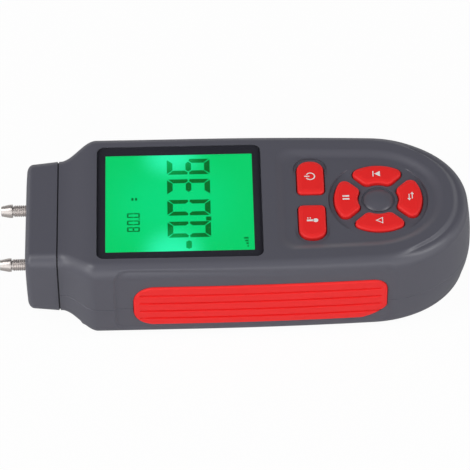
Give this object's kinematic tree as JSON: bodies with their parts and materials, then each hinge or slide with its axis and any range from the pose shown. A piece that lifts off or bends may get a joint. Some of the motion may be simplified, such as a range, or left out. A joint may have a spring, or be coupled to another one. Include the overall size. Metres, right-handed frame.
{
  "type": "digital manometer",
  "caption": "Handheld digital manometer with two nickel-plated hose barbs, a green backlit display, a red rubber keypad and ribbed red side grips.",
  "frame": {"origin": "on the flat back, under the middle of the overall box", "axes": "+X from the hose barbs towards the rounded tail, +Y towards the left side of someone who holds the barbs away from them, +Z out of the display"},
  "size_m": [0.181, 0.071, 0.038],
  "materials": {
    "shell_plastic": "fine satin texture, moulded ABS",
    "red_rubber": "satin thermoplastic rubber",
    "red_key": "satin silicone rubber",
    "black_rubber": "matt",
    "window_plastic": "clear hard-coated acrylic, dark printed border",
    "black_film": "matt adhesive film",
    "display_green": "liquid crystal cell, lit green from behind",
    "white_plastic": "white ABS",
    "light_guide_plastic": "frosted acrylic",
    "lamp_white": "moulded lamp body",
    "connector_rubber": "layered silicone",
    "board_green": "solder mask on glass-epoxy",
    "chip_black": "moulded epoxy",
    "clear_silicone": "translucent silicone",
    "nickel_plate": "nickel-plated brass",
    "red_fibre": "pressed fibre",
    "cell_sleeve": "printed sleeve, plain",
    "spring_steel": "nickel-plated spring steel",
    "red_wire": "PVC insulation",
    "black_wire": "PVC insulation",
    "screw_steel": "zinc-plated steel"
  },
  "bodies": {
    "housing": {"front_shell": "shell_plastic", "back_shell": "shell_plastic", "head_cap": "shell_plastic", "head_gasket": "black_rubber", "left_grip": "red_rubber", "right_grip": "red_rubber", "display_window": "window_plastic", "window_mask": "black_film", "display_glass": "display_green", "display_frame": "white_plastic", "light_guide": "light_guide_plastic", "backlight_lamps": "lamp_white", "connector_strip": "connector_rubber", "main_board": "board_green", "microcontroller": "chip_black", "signal_amplifier": "chip_black", "capacitors": "chip_black", "pressure_sensor": "chip_black", "high_port_tube": "clear_silicone", "low_port_tube": "clear_silicone", "high_port_barb": "nickel_plate", "low_port_barb": "nickel_plate", "port_washers": "red_fibre", "port_nuts": "nickel_plate", "keypad_mat": "red_key", "batteries": "cell_sleeve", "battery_springs": "spring_steel", "battery_plates": "spring_steel", "red_lead": "red_wire", "black_lead": "black_wire", "case_screws": "screw_steel", "board_screws": "screw_steel", "cap_screws": "screw_steel"},
    "power_key": {"power_key": "red_key"},
    "temperature_key": {"temperature_key": "red_key"},
    "hold_key": {"hold_key": "red_key"},
    "max_key": {"max_key": "red_key"},
    "units_key": {"units_key": "red_key"},
    "difference_key": {"difference_key": "red_key"},
    "battery_door": {"battery_door": "shell_plastic"}
  },
  "joints": [
    {"name": "power_key_press", "type": "slide", "parent": "housing", "child": "power_key", "axis": [0, 0, -1], "range_m": [0, 0.001], "stiffness_N_per_m": 1200, "springref_m": -0.0005},
    {"name": "temperature_key_press", "type": "slide", "parent": "housing", "child": "temperature_key", "axis": [0, 0, -1], "range_m": [0, 0.001], "stiffness_N_per_m": 1200, "springref_m": -0.0005},
    {"name": "hold_key_press", "type": "slide", "parent": "housing", "child": "hold_key", "axis": [0, 0, -1], "range_m": [0, 0.001], "stiffness_N_per_m": 1200, "springref_m": -0.0005},
    {"name": "max_key_press", "type": "slide", "parent": "housing", "child": "max_key", "axis": [0, 0, -1], "range_m": [0, 0.001], "stiffness_N_per_m": 1200, "springref_m": -0.0005},
    {"name": "units_key_press", "type": "slide", "parent": "housing", "child": "units_key", "axis": [0, 0, -1], "range_m": [0, 0.001], "stiffness_N_per_m": 1200, "springref_m": -0.0005},
    {"name": "difference_key_press", "type": "slide", "parent": "housing", "child": "difference_key", "axis": [0, 0, -1], "range_m": [0, 0.001], "stiffness_N_per_m": 1200, "springref_m": -0.0005},
    {"name": "battery_door_hinge", "type": "hinge", "parent": "housing", "child": "battery_door", "pos_m": [0.0671, 0, 0.0019], "axis": [0, -1, 0], "range_deg": [0, 75]}
  ]
}
